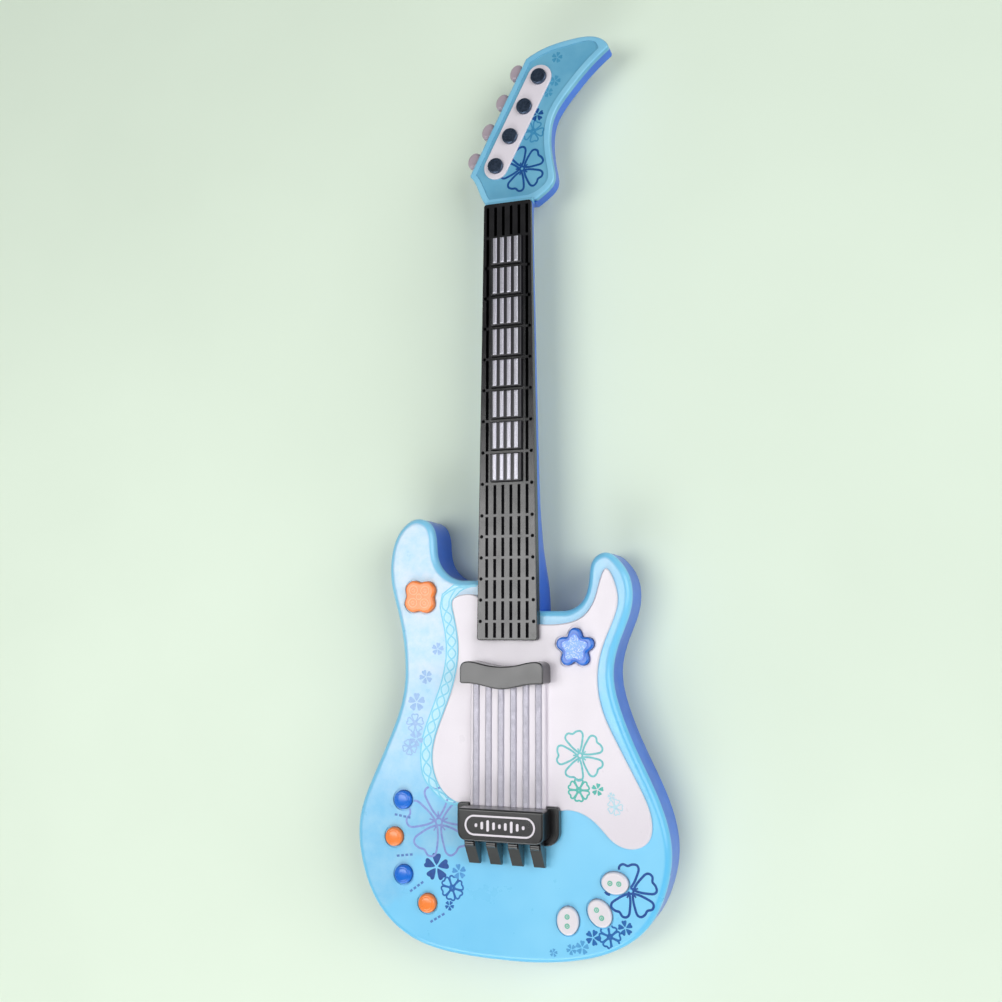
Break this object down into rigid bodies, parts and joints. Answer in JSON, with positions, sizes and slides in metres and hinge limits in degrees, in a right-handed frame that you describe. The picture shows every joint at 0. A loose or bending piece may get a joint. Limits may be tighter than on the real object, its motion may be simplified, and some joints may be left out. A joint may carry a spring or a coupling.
{
  "type": "toy electric guitar",
  "caption": "Toy electric guitar with sprung fret keys along the neck, strum levers at the bridge, face buttons, tuner knobs, a speaker and a battery bay.",
  "frame": {"origin": "on the body's flat back face, under the neck's centre line, level with the bridge side of the waist", "axes": "+Z out of the front face, +Y along the neck towards the headstock, +X to the right seen from the front"},
  "size_m": [0.2279, 0.6582, 0.061],
  "materials": {
    "sky_shell": "gloss, printed front shell",
    "blue_shell": "gloss moulded back shell",
    "head_blue": "gloss moulded",
    "white_plastic": "gloss moulded",
    "black_plastic": "gloss moulded",
    "silver_plastic": "metallic-flake satin",
    "dark_metal": "dark plated",
    "knob_grey": "satin moulded",
    "orange_button": "gloss moulded",
    "blue_button": "gloss moulded",
    "oval_white": "gloss moulded with a printed mark",
    "pad_rubber": "matte",
    "circuit_board": "printed circuit board",
    "steel": "plated steel",
    "paper_cone": "matte paper",
    "magnet": "ferrite and plated steel",
    "cell_wrap": "plain sleeved cell",
    "wire_sleeve": "insulated lead"
  },
  "bodies": {
    "root": {"body_front_shell": "sky_shell", "body_back_shell": "blue_shell", "pickguard": "white_plastic", "neck_shell": "blue_shell", "fretboard": "black_plastic", "headstock_front": "head_blue", "tuner_plate": "white_plastic", "tuner_posts": "dark_metal", "string_panel": "white_plastic", "strings": "silver_plastic", "pickup_cover": "black_plastic", "bridge_base": "black_plastic", "bridge_block": "black_plastic", "bridge_badge": "white_plastic", "button_pads": "pad_rubber", "button_boards": "circuit_board", "main_board": "circuit_board", "neck_board": "circuit_board", "fret_key_pads": "pad_rubber", "lever_contacts": "pad_rubber", "lever_board": "circuit_board", "lever_pin": "steel", "speaker_frame": "steel", "speaker_cone": "paper_cone", "speaker_magnet": "magnet", "battery_cells": "cell_wrap", "battery_contacts": "steel", "battery_springs": "steel", "battery_door": "blue_shell", "door_screw": "steel", "shell_screws": "steel", "switch_body": "steel", "wire_harness": "wire_sleeve"},
    "tuner_knob_1": {"tuner_knob_1": "knob_grey"},
    "strum_lever_1": {"strum_lever_1": "black_plastic"},
    "tuner_knob_2": {"tuner_knob_2": "knob_grey"},
    "strum_lever_2": {"strum_lever_2": "black_plastic"},
    "tuner_knob_3": {"tuner_knob_3": "knob_grey"},
    "strum_lever_3": {"strum_lever_3": "black_plastic"},
    "tuner_knob_4": {"tuner_knob_4": "knob_grey"},
    "strum_lever_4": {"strum_lever_4": "black_plastic"},
    "round_button_1": {"round_button_1": "blue_button"},
    "round_button_2": {"round_button_2": "orange_button"},
    "round_button_3": {"round_button_3": "blue_button"},
    "round_button_4": {"round_button_4": "orange_button"},
    "fret_key_1": {"fret_key_1": "black_plastic"},
    "fret_key_2": {"fret_key_2": "black_plastic"},
    "fret_key_3": {"fret_key_3": "black_plastic"},
    "fret_key_4": {"fret_key_4": "black_plastic"},
    "fret_key_5": {"fret_key_5": "black_plastic"},
    "fret_key_6": {"fret_key_6": "black_plastic"},
    "fret_key_7": {"fret_key_7": "black_plastic"},
    "fret_key_8": {"fret_key_8": "black_plastic"},
    "oval_button_1": {"oval_button_1": "oval_white"},
    "oval_button_2": {"oval_button_2": "oval_white"},
    "oval_button_3": {"oval_button_3": "oval_white"},
    "flower_button": {"flower_button": "orange_button"},
    "star_button": {"star_button": "blue_button"},
    "switch_slider": {"switch_slider": "black_plastic"}
  },
  "joints": [
    {"name": "fret_key_1_press", "type": "slide", "parent": "root", "child": "fret_key_1", "axis": [0, 0, -1], "range_m": [0, 0.0015], "stiffness_N_per_m": 260, "springref_m": -0.001},
    {"name": "fret_key_2_press", "type": "slide", "parent": "root", "child": "fret_key_2", "axis": [0, 0, -1], "range_m": [0, 0.0015], "stiffness_N_per_m": 260, "springref_m": -0.001},
    {"name": "fret_key_3_press", "type": "slide", "parent": "root", "child": "fret_key_3", "axis": [0, 0, -1], "range_m": [0, 0.0015], "stiffness_N_per_m": 260, "springref_m": -0.001},
    {"name": "fret_key_4_press", "type": "slide", "parent": "root", "child": "fret_key_4", "axis": [0, 0, -1], "range_m": [0, 0.0015], "stiffness_N_per_m": 260, "springref_m": -0.001},
    {"name": "fret_key_5_press", "type": "slide", "parent": "root", "child": "fret_key_5", "axis": [0, 0, -1], "range_m": [0, 0.0015], "stiffness_N_per_m": 260, "springref_m": -0.001},
    {"name": "fret_key_6_press", "type": "slide", "parent": "root", "child": "fret_key_6", "axis": [0, 0, -1], "range_m": [0, 0.0015], "stiffness_N_per_m": 260, "springref_m": -0.001},
    {"name": "fret_key_7_press", "type": "slide", "parent": "root", "child": "fret_key_7", "axis": [0, 0, -1], "range_m": [0, 0.0015], "stiffness_N_per_m": 260, "springref_m": -0.001},
    {"name": "fret_key_8_press", "type": "slide", "parent": "root", "child": "fret_key_8", "axis": [0, 0, -1], "range_m": [0, 0.0015], "stiffness_N_per_m": 260, "springref_m": -0.001},
    {"name": "flower_button_press", "type": "slide", "parent": "root", "child": "flower_button", "axis": [0, 0, -1], "range_m": [0, 0.0015], "stiffness_N_per_m": 260, "springref_m": -0.001},
    {"name": "star_button_press", "type": "slide", "parent": "root", "child": "star_button", "axis": [0, 0, -1], "range_m": [0, 0.0015], "stiffness_N_per_m": 260, "springref_m": -0.001},
    {"name": "round_button_1_press", "type": "slide", "parent": "root", "child": "round_button_1", "axis": [0, 0, -1], "range_m": [0, 0.0015], "stiffness_N_per_m": 260, "springref_m": -0.001},
    {"name": "round_button_2_press", "type": "slide", "parent": "root", "child": "round_button_2", "axis": [0, 0, -1], "range_m": [0, 0.0015], "stiffness_N_per_m": 260, "springref_m": -0.001},
    {"name": "round_button_3_press", "type": "slide", "parent": "root", "child": "round_button_3", "axis": [0, 0, -1], "range_m": [0, 0.0015], "stiffness_N_per_m": 260, "springref_m": -0.001},
    {"name": "round_button_4_press", "type": "slide", "parent": "root", "child": "round_button_4", "axis": [0, 0, -1], "range_m": [0, 0.0015], "stiffness_N_per_m": 260, "springref_m": -0.001},
    {"name": "oval_button_1_press", "type": "slide", "parent": "root", "child": "oval_button_1", "axis": [0, 0, -1], "range_m": [0, 0.0015], "stiffness_N_per_m": 260, "springref_m": -0.001},
    {"name": "oval_button_2_press", "type": "slide", "parent": "root", "child": "oval_button_2", "axis": [0, 0, -1], "range_m": [0, 0.0015], "stiffness_N_per_m": 260, "springref_m": -0.001},
    {"name": "oval_button_3_press", "type": "slide", "parent": "root", "child": "oval_button_3", "axis": [0, 0, -1], "range_m": [0, 0.0015], "stiffness_N_per_m": 260, "springref_m": -0.001},
    {"name": "strum_lever_1_hinge", "type": "hinge", "parent": "root", "child": "strum_lever_1", "pos_m": [-0.0234, -0.043, 0.051], "axis": [1, 0, 0], "range_deg": [0, 5], "stiffness_Nm_per_rad": 0.25, "springref_deg": -2.86},
    {"name": "strum_lever_2_hinge", "type": "hinge", "parent": "root", "child": "strum_lever_2", "pos_m": [-0.0078, -0.043, 0.051], "axis": [1, 0, 0], "range_deg": [0, 5], "stiffness_Nm_per_rad": 0.25, "springref_deg": -2.86},
    {"name": "strum_lever_3_hinge", "type": "hinge", "parent": "root", "child": "strum_lever_3", "pos_m": [0.0078, -0.043, 0.051], "axis": [1, 0, 0], "range_deg": [0, 5], "stiffness_Nm_per_rad": 0.25, "springref_deg": -2.86},
    {"name": "strum_lever_4_hinge", "type": "hinge", "parent": "root", "child": "strum_lever_4", "pos_m": [0.0234, -0.043, 0.051], "axis": [1, 0, 0], "range_deg": [0, 5], "stiffness_Nm_per_rad": 0.25, "springref_deg": -2.86},
    {"name": "tuner_knob_1_spin", "type": "hinge", "parent": "root", "child": "tuner_knob_1", "pos_m": [0.0223, 0.4934, 0.0295], "axis": [-0.8878, 0.4602, 0], "continuous": true},
    {"name": "tuner_knob_2_spin", "type": "hinge", "parent": "root", "child": "tuner_knob_2", "pos_m": [0.01114, 0.47187, 0.0295], "axis": [-0.8878, 0.4602, 0], "continuous": true},
    {"name": "tuner_knob_3_spin", "type": "hinge", "parent": "root", "child": "tuner_knob_3", "pos_m": [-0.00002, 0.45034, 0.0295], "axis": [-0.8878, 0.4602, 0], "continuous": true},
    {"name": "tuner_knob_4_spin", "type": "hinge", "parent": "root", "child": "tuner_knob_4", "pos_m": [-0.01118, 0.42881, 0.0295], "axis": [-0.8878, 0.4602, 0], "continuous": true},
    {"name": "switch_slide", "type": "slide", "parent": "root", "child": "switch_slider", "axis": [1, 0, 0], "range_m": [0, 0.005]}
  ]
}
